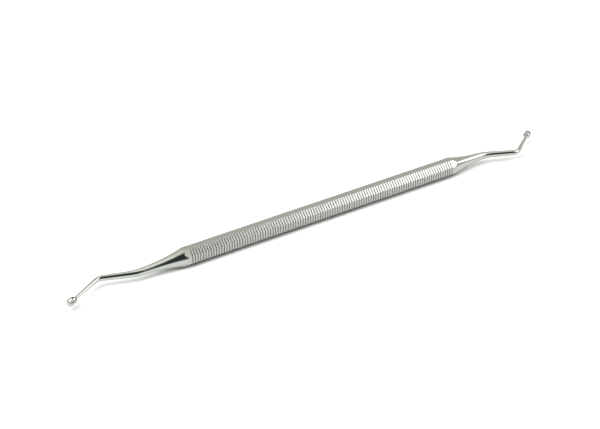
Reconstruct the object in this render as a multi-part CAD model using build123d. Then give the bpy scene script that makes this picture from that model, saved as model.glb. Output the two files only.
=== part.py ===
from build123d import *
import math
import os

# Double-ended bone curette, millimetres.
# +X runs along the handle, +Z is up, and the origin is the middle of the facet it rests on.

# Handle: an octagonal bar, plain on its top and bottom facets, with V grooves on the other six.
handle_across_flats = 5.8
handle_length = 102.9
groove_pitch = 0.927
groove_count = 107
groove_width = 0.5
groove_depth = 0.2

# Turned shoulders, the same at both ends: a cone that runs out of the facets, blended into the shank's cone.
shoulder_length = 10.3
shoulder_cone_angle = 12.1
shoulder_blend_radius = 45.0
shoulder_end_diameter = 2.75
shoulder_end_cone_angle = 4.0

# Round tapered shanks.
shank_diameter_after_bend = 2.1
shank_diameter_at_elbow = 1.85
shank_diameter_after_elbow = 1.55
neck_diameter = 1.05
bend_radius = 12.0
elbow_radius = 2.6

# Right-hand end, at +X. Lengths are between the corners of the centre line.
# The roll turns the spoon's opening from straight up, past the inside of the elbow, to straight down.
right_first_leg = 13.0
right_bend_angle = 23.9
right_second_leg = 11.75
right_elbow_angle = 60.4
right_tip_leg = 13.65
right_spoon_roll = 165.0

# Left-hand end, at -X.
left_first_leg = 15.9
left_bend_angle = 19.9
left_second_leg = 11.1
left_elbow_angle = 48.6
left_tip_leg = 14.5
left_spoon_roll = 10.0

# Spoons, the same at both ends: an egg of two balls drawn out of the neck, ground flat and hollowed.
spoon_width = 2.5
spoon_back_width = 2.4
spoon_ball_distance = 1.3
spoon_neck_blend_radius = 0.8
spoon_rim_height = 0.45
hollow_width = 2.05
hollow_back_width = 1.95
hollow_depth = 0.7
hollow_ball_distance = 1.3
runout_distance = 2.0
runout_radius = 2.0

# Sizes that follow from those above.
axis_height = handle_across_flats / 2
corner_radius = handle_across_flats / 2 / math.cos(math.radians(22.5))
bar_length = handle_length + 2 * shoulder_length
clear_of_corners = groove_depth
neck_to_spoon_centre = spoon_ball_distance + spoon_back_width


def octagon_bar():
    """The plain bar before its facets are grooved, centred on the X axis."""
    section = Plane.YZ * RegularPolygon(corner_radius, 8, rotation=22.5)
    return extrude(section, bar_length / 2, both=True)


def toothed_slab():
    """A slab with transverse V grooves in its two broad faces, wide enough to cover the bar."""
    face = handle_across_flats / 2
    bottom = face - groove_depth
    half_mouth = groove_width / 2
    first = -groove_pitch * (groove_count - 1) / 2
    upper = [(-bar_length, face)]
    for number in range(groove_count):
        middle = first + number * groove_pitch
        upper.append((middle - half_mouth, face))
        upper.append((middle, bottom))
        upper.append((middle + half_mouth, face))
    upper.append((bar_length, face))
    lower = [(x, -z) for x, z in reversed(upper)]
    outline = make_face(Polyline(*upper, *lower, close=True))
    return extrude(Plane.XZ * outline, handle_across_flats, both=True)


def grooved_bar():
    """The octagonal bar with aligned grooves cut across six of its eight facets."""
    bar = octagon_bar()
    slab = toothed_slab()
    for turn in (45, 90, 135):
        bar = bar & Rot(turn, 0, 0) * slab
    return bar


def turned_envelope():
    """Body of revolution that forms both shoulders and stands clear of the handle's corners."""
    start = handle_length / 2
    end = start + shoulder_length
    face_radius = handle_across_flats / 2
    end_radius = shoulder_end_diameter / 2
    slope = math.tan(math.radians(shoulder_cone_angle))
    end_slope = math.tan(math.radians(shoulder_end_cone_angle))
    clear_radius = corner_radius + clear_of_corners
    run_in = (clear_radius - face_radius) / slope
    to_corner = (face_radius - end_radius - end_slope * shoulder_length) / (slope - end_slope)
    corner = (start + to_corner, face_radius - slope * to_corner)
    cone_top = (start - run_in, clear_radius)
    profile = FilletPolyline(cone_top, corner, (end, end_radius), radius=shoulder_blend_radius)
    closing = Polyline((end, end_radius), (end, 0), (0, 0), (0, clear_radius), cone_top)
    half = revolve(make_face(Curve() + [profile, closing]), Axis.X, 360)
    return half + Rot(0, 0, 180) * half


def shank_path(first_leg, bend_angle, second_leg, elbow_angle, tip_leg):
    """Centre line from the shoulder to the neck, level, in line with the handle at its start."""
    bend_cut = bend_radius * math.tan(math.radians(bend_angle / 2))
    elbow_cut = elbow_radius * math.tan(math.radians(elbow_angle / 2))
    start = (handle_length / 2 + shoulder_length, 0)
    first = Line(start, (handle_length / 2 + first_leg - bend_cut, 0))
    bend = JernArc(first @ 1, first % 1, bend_radius, -bend_angle)
    second = Line(bend @ 1, bend @ 1 + (second_leg - bend_cut - elbow_cut) * (bend % 1))
    elbow = JernArc(second @ 1, second % 1, elbow_radius, elbow_angle)
    tip_length = tip_leg - elbow_cut - neck_to_spoon_centre
    tip = Line(elbow @ 1, elbow @ 1 + tip_length * (elbow % 1))
    return first, bend, second, elbow, tip


def round_section(edge, fraction, diameter):
    """Circle square to a stretch of the centre line."""
    return Plane(origin=edge @ fraction, x_dir=(0, 0, 1), z_dir=edge % fraction) * Circle(diameter / 2)


def stretch(edge, start_diameter, end_diameter):
    """Round bar along one stretch of the centre line, tapering evenly from end to end."""
    sections = [round_section(edge, 0, start_diameter), round_section(edge, 1, end_diameter)]
    if edge.geom_type == GeomType.LINE:
        return loft(sections, ruled=True)
    return sweep(sections, path=edge, multisection=True)


def shank(path):
    """Round tapered shank with a slow bend and an elbow, from the shoulder to the neck."""
    first, bend, second, elbow, tip = path
    share = first.length / (first.length + bend.length)
    diameter_at_bend = shoulder_end_diameter + share * (shank_diameter_after_bend - shoulder_end_diameter)
    body = stretch(first, shoulder_end_diameter, diameter_at_bend)
    body += stretch(bend, diameter_at_bend, shank_diameter_after_bend)
    body += stretch(second, shank_diameter_after_bend, shank_diameter_at_elbow)
    body += stretch(elbow, shank_diameter_at_elbow, shank_diameter_after_elbow)
    return body + stretch(tip, shank_diameter_after_elbow, neck_diameter)


def egg_outline(front_radius, back_radius, distance, back_end_angle):
    """Upper outline of two balls in a row and the cone that touches both, from the nose backwards."""
    lean = math.degrees(math.asin((front_radius - back_radius) / distance))
    front = CenterArc((0, 0), front_radius, 0, 90 + lean)
    back = CenterArc((-distance, 0), back_radius, 90 + lean, back_end_angle - 90 - lean)
    return [front, Line(front @ 1, back @ 0), back]


def spoon_blank():
    """The egg with its neck, before it is ground and hollowed."""
    back_radius = spoon_back_width / 2
    neck_radius = neck_diameter / 2
    reach = back_radius + spoon_neck_blend_radius
    blend_height = neck_radius + spoon_neck_blend_radius
    blend_angle = math.degrees(math.asin(blend_height / reach))
    blend_centre = (-spoon_ball_distance - reach * math.cos(math.radians(blend_angle)), blend_height)
    outline = egg_outline(spoon_width / 2, back_radius, spoon_ball_distance, 180 - blend_angle)
    blend = CenterArc(blend_centre, spoon_neck_blend_radius, -blend_angle, blend_angle - 90)
    neck_end = (-neck_to_spoon_centre, neck_radius)
    closing = Polyline(blend @ 1, neck_end, (-neck_to_spoon_centre, 0), (spoon_width / 2, 0))
    return revolve(make_face(Curve() + [*outline, blend, closing]), Axis.X, 360)


def hollow():
    """What the bowl of the spoon takes away: a smaller egg that sinks below the rim by its depth."""
    half_mouth = hollow_width / 2
    front_radius = (half_mouth ** 2 + hollow_depth ** 2) / (2 * hollow_depth)
    back_radius = front_radius * hollow_back_width / hollow_width
    outline = egg_outline(front_radius, back_radius, hollow_ball_distance, 180)
    axis = Line(outline[-1] @ 1, outline[0] @ 0)
    egg = revolve(make_face(Curve() + [*outline, axis]), Axis.X, 360)
    return Pos(0, 0, spoon_rim_height - hollow_depth + front_radius) * egg


def ground_off():
    """What the grinding wheel takes away above the rim, ending in a run-out into the neck."""
    wheel_centre = (-runout_distance, spoon_rim_height + runout_radius)
    beyond = spoon_width
    runout = CenterArc(wheel_centre, runout_radius, 180, 90)
    rest = Polyline(runout @ 1, (beyond, spoon_rim_height), (beyond, wheel_centre[1]), runout @ 0)
    return extrude(Plane.XZ * make_face(Curve() + [runout, rest]), spoon_width, both=True)


def spoon():
    """Hollow-ground spoon about the centre of its front ball, pointing along +X with its opening up."""
    return spoon_blank() - ground_off() - hollow()


def working_end(first_leg, bend_angle, second_leg, elbow_angle, tip_leg, spoon_roll):
    """Shank and spoon of one end, pointing along +X from the shoulder."""
    path = shank_path(first_leg, bend_angle, second_leg, elbow_angle, tip_leg)
    tip = path[-1]
    direction = tip % 1
    centre = tip @ 1 + neck_to_spoon_centre * direction
    inside = Vector(-direction.Y, direction.X, 0)
    roll = math.radians(spoon_roll)
    opening = Vector(0, 0, math.cos(roll)) + inside * math.sin(roll)
    place = Plane(origin=centre, x_dir=direction, z_dir=opening)
    return shank(path) + place * spoon()


def curette():
    """The whole instrument, one piece of steel, resting on its plain bottom facet."""
    body = grooved_bar() & turned_envelope()
    right = working_end(
        right_first_leg,
        right_bend_angle,
        right_second_leg,
        right_elbow_angle,
        right_tip_leg,
        right_spoon_roll,
    )
    left = working_end(
        left_first_leg,
        left_bend_angle,
        left_second_leg,
        left_elbow_angle,
        left_tip_leg,
        left_spoon_roll,
    )
    body = body + right + Rot(0, 0, 180) * left
    return Pos(0, 0, axis_height) * body


os.makedirs("parts", exist_ok=True)
export_step(curette(), "parts/curette.step")
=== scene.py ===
import math

import bpy
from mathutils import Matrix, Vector

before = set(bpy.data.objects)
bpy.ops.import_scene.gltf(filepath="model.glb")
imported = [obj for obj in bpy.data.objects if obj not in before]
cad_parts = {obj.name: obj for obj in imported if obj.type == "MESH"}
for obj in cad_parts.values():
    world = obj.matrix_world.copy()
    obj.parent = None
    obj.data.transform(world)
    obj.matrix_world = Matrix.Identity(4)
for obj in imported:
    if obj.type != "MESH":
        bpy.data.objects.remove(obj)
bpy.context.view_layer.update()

bl_info = {
    "name": "Bone curette",
    "version": (1, 0, 0),
    "blender": (4, 5, 0),
    "location": "3D View > Sidebar > Curette",
    "description": "Dresses the packed double-ended bone curette in stainless steel and sets up its studio",
    "category": "Object",
}

MM = 0.001

# Turns of the handle's facets about its length, in degrees.
# Each stands for a facet and the one across from it.
FACET_TURNS = (0, 45, 90, 135)

# Blender's noise seldom leaves this range.
NOISE_RANGE = (0.3, 0.7)

# A Mix node has sockets of the same name for each kind of data, so they are reached by number.
MIX_FACTOR = 0
MIX_NUMBERS = (2, 3)
MIX_COLOURS = (6, 7)
MIX_COLOUR_RESULT = 2

# The parts of the room begin and end softly, over these spans. A lean is the cosine of the angle between
# a direction and the middle of the wall or the window. A rise is 0 for a level direction and 1 for one
# straight up.
WALL_LEAN = (-0.17, 0.1)
WINDOW_LEAN = (0.1, 0.4)
WINDOW_RISE = (0.55, 0.75)
OVERHEAD_RISE = (0.6, 0.95)
FRONT_RISE = (0.05, 0.3)

# Soft boxes, in metres. A radiance of 1 is as bright as white on the screen. The left and the right one
# give the steel its highlights and the floor its shadows, and the top one is a faint glow over the right-hand
# end. The fill lights the floor alone: the steel doesn't mirror it, because it would wash out the dark bands.
SOFTBOXES = (
    {"name": "softbox_right", "place": (0.424, -0.236, 0.342), "target": (0.06, 0, 0),
     "side": 0.3, "radiance": 3.5, "mirrored": True},
    {"name": "softbox_left", "place": (-0.42, -0.12, 0.56), "target": (0, 0, 0),
     "side": 0.4, "radiance": 5.5, "mirrored": True},
    {"name": "softbox_fill", "place": (-0.3, -0.1, 0.8), "target": (0, 0, 0),
     "side": 1.4, "radiance": 0.66, "mirrored": False},
    {"name": "softbox_top", "place": (0.095, -0.01, 0.5), "target": (0.095, -0.01, 0),
     "side": 0.2, "radiance": 0.5, "mirrored": True},
)


def linear_from_hex(code):
    """Linear colour, with alpha, of an sRGB hex value."""
    channels = []
    for first in (0, 2, 4):
        value = int(code[first:first + 2], 16) / 255
        channels.append(value / 12.92 if value <= 0.04045 else ((value + 0.055) / 1.055) ** 2.4)
    return (*channels, 1.0)


def colour_property(name, description, code):
    return bpy.props.FloatVectorProperty(
        name=name, description=description, subtype="COLOR", size=4, min=0, max=1,
        default=linear_from_hex(code))


def length_property(name, description, millimetres):
    return bpy.props.FloatProperty(
        name=name, description=description, subtype="DISTANCE", unit="LENGTH", default=millimetres * MM)


def share_property(name, description, default):
    return bpy.props.FloatProperty(
        name=name, description=description, subtype="FACTOR", min=0, max=1, default=default)


def angle_property(name, description, degrees):
    return bpy.props.FloatProperty(
        name=name, description=description, subtype="ANGLE", unit="ROTATION", default=math.radians(degrees))


def brightness_property(name, description, default):
    return bpy.props.FloatProperty(name=name, description=description, min=0, default=default)


class SteelSettings(bpy.types.PropertyGroup):
    """Sizes and finishes of the stainless steel."""

    steel: colour_property("Steel", "Colour of bare stainless steel", "B2B4B0")
    satin_steel: colour_property("Satin steel", "Colour of the brushed facets", "AEAFAB")
    # Painted shade: the grooves are coloured darker towards their bottom, where little light gets in.
    painted_groove_shade: colour_property("Groove steel", "Colour at the bottom of the milled grooves", "4E4E49")
    satin_least: share_property("Satin, smoothest", "Least roughness of the brushed facets", 0.18)
    satin_most: share_property("Satin, roughest", "Greatest roughness of the brushed facets", 0.38)
    polish_least: share_property("Polish, smoothest", "Least roughness of the polished ends", 0.06)
    polish_most: share_property("Polish, roughest", "Greatest roughness of the polished ends", 0.14)
    handle_length: length_property("Handle length", "Length of the brushed, grooved stretch", 102.9)
    across_flats: length_property("Across flats", "Width of the octagonal handle", 5.8)
    groove_depth: length_property("Groove depth", "Depth of the grooves below the facets", 0.2)
    shoulder_angle: angle_property("Shoulder angle", "Slope of the shoulder where it meets the facets", 12.1)
    border_depth: length_property("Border", "Depth under the shoulder's cone at which the polish ends", 0.06)
    worn_edge: length_property("Worn edge", "Rounding that polishing leaves on every edge", 0.08)
    brush_length: length_property("Brush length", "Length of a brushing line", 12.0)
    brush_spacing: length_property("Brush spacing", "Distance between brushing lines", 0.15)
    brush_depth: length_property("Brush depth", "Depth of the brushing lines", 0.0035)
    smear_size: length_property("Smears", "Size of the faint smears on the polished ends", 2.5)
    swell_size: length_property("Buffing waves", "Size of the slow waves that buffing leaves", 3.5)
    swell_height: length_property("Buffing height", "Height of the slow waves that buffing leaves", 0.008)


class StudioSettings(bpy.types.PropertyGroup):
    """Camera, floor and room."""

    lens: bpy.props.FloatProperty(
        name="Lens", description="Focal length on a 36 mm wide sensor", unit="CAMERA", default=107.8)
    camera_place: bpy.props.FloatVectorProperty(
        name="Camera place", description="Where the camera stands", subtype="TRANSLATION", unit="LENGTH",
        size=3, default=(-275.35 * MM, -401.3 * MM, 290.9 * MM))
    camera_tilt: angle_property("Camera tilt", "Angle of the line of sight below level", 30.77)
    camera_turn: angle_property("Camera turn", "Turn about the vertical, from looking along +Y", -33.61)
    floor_colour: colour_property("Floor", "Colour of the white card", "F6F6F6")
    floor_size: length_property("Floor size", "Side of the square floor", 6000.0)
    wall_colour: colour_property("Wall", "Colour of the wall behind and to the right", "D4D3CD")
    wall_brightness: brightness_property("Wall brightness", "How bright the wall is, up to mid height", 1.25)
    overhead_brightness: brightness_property("Overhead brightness", "How bright the wall is overhead", 1.95)
    wall_turn: angle_property("Wall turn", "Turn from +X to the middle of the wall", 28)
    front_colour: colour_property("Front", "Colour of the dark room in front", "3C4844")
    low_front_colour: colour_property("Low front", "Colour of the room in front, near the table", "98A3A2")
    window_colour: colour_property("Window", "Colour of the window's light", "F5F9FF")
    window_brightness: brightness_property("Window brightness", "How bright the window is", 1.2)
    window_turn: angle_property("Window turn", "Turn from +X to the middle of the window", 160)


class CURETTE_OT_steel(bpy.types.Operator):
    """Give the one-piece instrument its brushed handle and bright-polished ends"""

    bl_idname = "curette.steel"
    bl_label = "Stainless steel"

    def execute(self, context):
        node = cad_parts["curette"]
        if not node.material_slots:
            raise RuntimeError("the curette has no material slot to dress")
        material = stainless_steel(context.scene.curette_steel)
        for slot in node.material_slots:
            slot.link = "OBJECT"
            slot.material = material
        return {"FINISHED"}


class CURETTE_OT_studio(bpy.types.Operator):
    """Set up the white floor, the soft boxes, the room that the steel mirrors and the camera"""

    bl_idname = "curette.studio"
    bl_label = "Studio"

    def execute(self, context):
        scene = context.scene
        settings = scene.curette_studio
        add_floor(scene, settings)
        for box in SOFTBOXES:
            add_softbox(scene, **box)
        add_room(scene, settings)
        add_camera(scene, settings)
        scene.view_settings.view_transform = "Standard"
        return {"FINISHED"}


class CURETTE_PT_panel(bpy.types.Panel):
    """Sidebar panel with one button for the instrument, one for the stage, and their settings"""

    bl_idname = "CURETTE_PT_panel"
    bl_label = "Bone curette"
    bl_space_type = "VIEW_3D"
    bl_region_type = "UI"
    bl_category = "Curette"

    def draw(self, context):
        self.layout.operator("curette.steel")
        for name in SteelSettings.__annotations__:
            self.layout.prop(context.scene.curette_steel, name)
        self.layout.operator("curette.studio")
        for name in StudioSettings.__annotations__:
            self.layout.prop(context.scene.curette_studio, name)


def add_node(tree, kind, settings=None, inputs=None):
    """One shader node, with its settings, and for each input a constant or the socket that feeds it."""
    node = tree.nodes.new(kind)
    for name, value in (settings or {}).items():
        setattr(node, name, value)
    for name, value in (inputs or {}).items():
        if isinstance(value, bpy.types.NodeSocket):
            tree.links.new(value, node.inputs[name])
        else:
            node.inputs[name].default_value = value
    return node


def new_material(name):
    material = bpy.data.materials.new(name)
    material.use_nodes = True
    material.node_tree.nodes.clear()
    return material


def stainless_steel(settings):
    """Stainless steel bar, brushed on the handle and bright-polished at the ends."""
    # The facets are ground with a belt along the handle, so they have a soft grey sheen in fine lines.
    # The grooves are milled and left as cut; their dark bottoms are painted shade, for the little light that
    # gets down into them. The shoulders, shanks and spoons are turned and buffed, so they mirror the room, a
    # little waved and smeared. Every edge is worn round, so it catches a thin line of light.
    material = new_material("stainless_steel_brushed_and_polished")
    tree = material.node_tree
    place = add_node(tree, "ShaderNodeTexCoord").outputs["Object"]
    centred = add_node(
        tree, "ShaderNodeVectorMath", {"operation": "SUBTRACT"},
        {0: place, 1: (0, 0, settings.across_flats / 2)})
    polish = polished_share(tree, centred.outputs["Vector"], settings)
    lines = brushing_lines(tree, place, settings)
    shader = add_node(
        tree, "ShaderNodeBsdfPrincipled",
        inputs={
            "Metallic": 1.0,
            "Base Color": steel_colour(tree, centred.outputs["Vector"], polish, settings),
            "Roughness": steel_roughness(tree, place, lines, polish, settings),
            "Normal": steel_surface(tree, place, lines, polish, settings),
        })
    add_node(tree, "ShaderNodeOutputMaterial", inputs={"Surface": shader.outputs["BSDF"]})
    return material


def polished_share(tree, centred, settings):
    """1 on the turned shoulders and all that lies beyond them, 0 on the facets."""
    slope = math.tan(settings.shoulder_angle)
    half_width = settings.across_flats / 2
    half_length = settings.handle_length / 2
    axes = add_node(tree, "ShaderNodeSeparateXYZ", inputs={"Vector": centred})
    along = add_node(tree, "ShaderNodeMath", {"operation": "ABSOLUTE"}, {0: axes.outputs["X"]})
    across = add_node(tree, "ShaderNodeVectorMath", {"operation": "MULTIPLY"}, {0: centred, 1: (0, 1, 1)})
    radius = add_node(tree, "ShaderNodeVectorMath", {"operation": "LENGTH"}, {0: across.outputs["Vector"]})
    cone = add_node(
        tree, "ShaderNodeMath", {"operation": "MULTIPLY_ADD"},
        {0: along.outputs["Value"], 1: -slope, 2: half_width + slope * half_length})
    under_cone = add_node(
        tree, "ShaderNodeMath", {"operation": "SUBTRACT"},
        {0: cone.outputs["Value"], 1: radius.outputs["Value"]})
    on_cone = add_node(
        tree, "ShaderNodeMapRange", {"interpolation_type": "SMOOTHSTEP"},
        {"Value": under_cone.outputs["Value"], "From Min": 0.0, "From Max": settings.border_depth,
         "To Min": 1.0, "To Max": 0.0})
    beyond = add_node(
        tree, "ShaderNodeMath", {"operation": "GREATER_THAN"}, {0: along.outputs["Value"], 1: half_length})
    polish = add_node(
        tree, "ShaderNodeMath", {"operation": "MAXIMUM"},
        {0: on_cone.outputs["Result"], 1: beyond.outputs["Value"]})
    return polish.outputs["Value"]


def depth_below_facets(tree, centred, settings):
    """How far a point lies below the nearest of the eight facets, in metres."""
    farthest = None
    for turn in FACET_TURNS:
        facing = (0, math.cos(math.radians(turn)), math.sin(math.radians(turn)))
        out = add_node(tree, "ShaderNodeVectorMath", {"operation": "DOT_PRODUCT"}, {0: centred, 1: facing})
        reach = add_node(tree, "ShaderNodeMath", {"operation": "ABSOLUTE"}, {0: out.outputs["Value"]})
        if farthest is None:
            farthest = reach
        else:
            farthest = add_node(
                tree, "ShaderNodeMath", {"operation": "MAXIMUM"},
                {0: farthest.outputs["Value"], 1: reach.outputs["Value"]})
    depth = add_node(
        tree, "ShaderNodeMath", {"operation": "SUBTRACT"},
        {0: settings.across_flats / 2, 1: farthest.outputs["Value"]})
    return depth.outputs["Value"]


def brushing_lines(tree, place, settings):
    """Fine lines along the handle, as a grinding belt leaves them."""
    # Real brushing lines are about 0.03 mm apart, too fine to show, so brush_spacing draws them coarser.
    stretched = add_node(
        tree, "ShaderNodeMapping",
        inputs={"Vector": place,
                "Scale": (1 / settings.brush_length, 1 / settings.brush_spacing, 1 / settings.brush_spacing)})
    lines = add_node(
        tree, "ShaderNodeTexNoise",
        inputs={"Vector": stretched.outputs["Vector"], "Scale": 1.0, "Detail": 2.0, "Roughness": 0.6})
    return lines.outputs["Fac"]


def steel_colour(tree, centred, polish, settings):
    """Satin steel on the facets, painted shade down in the grooves, and bare steel on the polished ends."""
    low, high = MIX_COLOURS
    depth = depth_below_facets(tree, centred, settings)
    # Painted shade: the handle is coloured darker the deeper a point lies in a groove, full at groove depth.
    groove_shade_share = add_node(
        tree, "ShaderNodeMapRange", {"interpolation_type": "SMOOTHSTEP"},
        {"Value": depth, "From Min": 0.0, "From Max": settings.groove_depth})
    handle = add_node(
        tree, "ShaderNodeMix", {"data_type": "RGBA"},
        {MIX_FACTOR: groove_shade_share.outputs["Result"], low: settings.satin_steel, high: settings.painted_groove_shade})
    colour = add_node(
        tree, "ShaderNodeMix", {"data_type": "RGBA"},
        {MIX_FACTOR: polish, low: handle.outputs[MIX_COLOUR_RESULT], high: settings.steel})
    return colour.outputs[MIX_COLOUR_RESULT]


def steel_roughness(tree, place, lines, polish, settings):
    """Roughness that follows the brushing lines on the facets and faint smears on the polished ends."""
    low, high = MIX_NUMBERS
    satin = add_node(
        tree, "ShaderNodeMapRange",
        inputs={"Value": lines, "To Min": settings.satin_least, "To Max": settings.satin_most})
    smears = add_node(
        tree, "ShaderNodeTexNoise",
        inputs={"Vector": place, "Scale": 1 / settings.smear_size, "Detail": 6.0, "Roughness": 0.7})
    bright = add_node(
        tree, "ShaderNodeMapRange",
        inputs={"Value": smears.outputs["Fac"], "From Min": NOISE_RANGE[0], "From Max": NOISE_RANGE[1],
                "To Min": settings.polish_least, "To Max": settings.polish_most})
    roughness = add_node(
        tree, "ShaderNodeMix",
        inputs={MIX_FACTOR: polish, low: satin.outputs["Result"], high: bright.outputs["Result"]})
    return roughness.outputs["Result"]


def steel_surface(tree, place, lines, polish, settings):
    """Worn edges everywhere, brushing lines cut into the facets, and slow waves on the polished ends."""
    worn = add_node(tree, "ShaderNodeBevel", {"samples": 4}, {"Radius": settings.worn_edge})
    # Minus one on the facets and nothing on the ends: the lines go down into the steel, on the facets alone.
    facet_cut = add_node(tree, "ShaderNodeMath", {"operation": "SUBTRACT"}, {0: polish, 1: 1.0})
    line_height = add_node(
        tree, "ShaderNodeMath", {"operation": "MULTIPLY"}, {0: lines, 1: facet_cut.outputs["Value"]})
    brushed = add_node(
        tree, "ShaderNodeBump",
        inputs={"Distance": settings.brush_depth, "Strength": 1.0, "Height": line_height.outputs["Value"],
                "Normal": worn.outputs["Normal"]})
    swell = add_node(
        tree, "ShaderNodeTexNoise", inputs={"Vector": place, "Scale": 1 / settings.swell_size, "Detail": 1.0})
    swell_height = add_node(
        tree, "ShaderNodeMath", {"operation": "MULTIPLY"}, {0: swell.outputs["Fac"], 1: polish})
    buffed = add_node(
        tree, "ShaderNodeBump",
        inputs={"Distance": settings.swell_height, "Strength": 1.0, "Height": swell_height.outputs["Value"],
                "Normal": brushed.outputs["Normal"]})
    return buffed.outputs["Normal"]


def white_card(settings):
    """Matt white card, which shows soft shadows and no shine."""
    material = new_material("white_card")
    tree = material.node_tree
    shader = add_node(
        tree, "ShaderNodeBsdfPrincipled", inputs={"Base Color": settings.floor_colour, "Roughness": 0.9})
    add_node(tree, "ShaderNodeOutputMaterial", inputs={"Surface": shader.outputs["BSDF"]})
    return material


def add_floor(scene, settings):
    """Square of white card that the instrument lies on."""
    reach = settings.floor_size / 2
    corners = [(-reach, -reach, 0), (reach, -reach, 0), (reach, reach, 0), (-reach, reach, 0)]
    mesh = bpy.data.meshes.new("floor")
    mesh.from_pydata(corners, [], [(0, 1, 2, 3)])
    mesh.materials.append(white_card(settings))
    floor = bpy.data.objects.new("floor", mesh)
    scene.collection.objects.link(floor)


def add_softbox(scene, name, place, target, side, radiance, mirrored):
    """Square area light at a place, turned towards a target, as bright as its radiance says."""
    lamp = bpy.data.lights.new(name, "AREA")
    lamp.shape = "SQUARE"
    lamp.size = side
    lamp.energy = radiance * math.pi * side ** 2
    box = bpy.data.objects.new(name, lamp)
    box.location = place
    box.rotation_euler = (Vector(target) - Vector(place)).to_track_quat("-Z", "Y").to_euler()
    box.visible_glossy = mirrored
    scene.collection.objects.link(box)


def lean_towards(tree, direction, turn):
    """Cosine of the angle between a direction and a level one that is turned from +X."""
    facing = (math.cos(turn), math.sin(turn), 0)
    lean = add_node(tree, "ShaderNodeVectorMath", {"operation": "DOT_PRODUCT"}, {0: direction, 1: facing})
    return lean.outputs["Value"]


def wall_light(tree, rise, settings):
    """Light of the pale wall, which grows brighter overhead."""
    brightness = add_node(
        tree, "ShaderNodeMapRange",
        inputs={"Value": rise, "From Min": OVERHEAD_RISE[0], "From Max": OVERHEAD_RISE[1],
                "To Min": settings.wall_brightness, "To Max": settings.overhead_brightness})
    wall = add_node(
        tree, "ShaderNodeVectorMath", {"operation": "SCALE"},
        {0: settings.wall_colour[:3], "Scale": brightness.outputs["Result"]})
    return wall.outputs["Vector"]


def front_light(tree, rise, settings):
    """Light of the dark room in front, paler near the table."""
    low, high = MIX_COLOURS
    above_table = add_node(
        tree, "ShaderNodeMapRange",
        inputs={"Value": rise, "From Min": FRONT_RISE[0], "From Max": FRONT_RISE[1]})
    front = add_node(
        tree, "ShaderNodeMix", {"data_type": "RGBA"},
        {MIX_FACTOR: above_table.outputs["Result"], low: settings.low_front_colour,
         high: settings.front_colour})
    return front.outputs[MIX_COLOUR_RESULT]


def window_share(tree, direction, rise, settings):
    """1 in the high window on the left, 0 elsewhere."""
    across = add_node(
        tree, "ShaderNodeMapRange", {"interpolation_type": "SMOOTHSTEP"},
        {"Value": lean_towards(tree, direction, settings.window_turn),
         "From Min": WINDOW_LEAN[0], "From Max": WINDOW_LEAN[1]})
    above_sill = add_node(
        tree, "ShaderNodeMapRange", {"interpolation_type": "SMOOTHSTEP"},
        {"Value": rise, "From Min": WINDOW_RISE[0], "From Max": WINDOW_RISE[1]})
    share = add_node(
        tree, "ShaderNodeMath", {"operation": "MULTIPLY"},
        {0: across.outputs["Result"], 1: above_sill.outputs["Result"]})
    return share.outputs["Value"]


def add_room(scene, settings):
    """The room that the steel mirrors and that lights the floor. The camera sees plain white in its place."""
    low, high = MIX_COLOURS
    world = bpy.data.worlds.new("room")
    scene.world = world
    world.use_nodes = True
    tree = world.node_tree
    tree.nodes.clear()
    direction = add_node(tree, "ShaderNodeTexCoord").outputs["Generated"]
    rise = add_node(tree, "ShaderNodeSeparateXYZ", inputs={"Vector": direction}).outputs["Z"]
    on_wall = add_node(
        tree, "ShaderNodeMapRange", {"interpolation_type": "SMOOTHSTEP"},
        {"Value": lean_towards(tree, direction, settings.wall_turn),
         "From Min": WALL_LEAN[0], "From Max": WALL_LEAN[1]})
    walls = add_node(
        tree, "ShaderNodeMix", {"data_type": "RGBA"},
        {MIX_FACTOR: on_wall.outputs["Result"], low: front_light(tree, rise, settings),
         high: wall_light(tree, rise, settings)})
    window_light = [channel * settings.window_brightness for channel in settings.window_colour]
    room_light = add_node(
        tree, "ShaderNodeMix", {"data_type": "RGBA"},
        {MIX_FACTOR: window_share(tree, direction, rise, settings), low: walls.outputs[MIX_COLOUR_RESULT],
         high: window_light})
    ray = add_node(tree, "ShaderNodeLightPath")
    room = add_node(tree, "ShaderNodeBackground", inputs={"Color": room_light.outputs[MIX_COLOUR_RESULT]})
    backdrop = add_node(tree, "ShaderNodeBackground", inputs={"Color": (1, 1, 1, 1)})
    both = add_node(
        tree, "ShaderNodeMixShader",
        inputs={0: ray.outputs["Is Camera Ray"], 1: room.outputs["Background"],
                2: backdrop.outputs["Background"]})
    add_node(tree, "ShaderNodeOutputWorld", inputs={"Surface": both.outputs["Shader"]})


def add_camera(scene, settings):
    """Camera at the photograph's viewing angle, in front of the left-hand end and above it."""
    camera = bpy.data.cameras.new("camera")
    camera.sensor_fit = "HORIZONTAL"
    camera.sensor_width = 36
    camera.lens = settings.lens
    camera.clip_start = 0.01
    camera.clip_end = 20
    eye = bpy.data.objects.new("camera", camera)
    eye.location = settings.camera_place
    eye.rotation_euler = (math.pi / 2 - settings.camera_tilt, 0, settings.camera_turn)
    scene.collection.objects.link(eye)
    scene.camera = eye


CLASSES = (SteelSettings, StudioSettings, CURETTE_OT_steel, CURETTE_OT_studio, CURETTE_PT_panel)


def register():
    for each in CLASSES:
        bpy.utils.register_class(each)
    bpy.types.Scene.curette_steel = bpy.props.PointerProperty(type=SteelSettings)
    bpy.types.Scene.curette_studio = bpy.props.PointerProperty(type=StudioSettings)


def unregister():
    del bpy.types.Scene.curette_studio
    del bpy.types.Scene.curette_steel
    for each in reversed(CLASSES):
        bpy.utils.unregister_class(each)


def main():
    register()
    bpy.ops.curette.steel()
    bpy.ops.curette.studio()


if __name__ == "__main__":
    main()
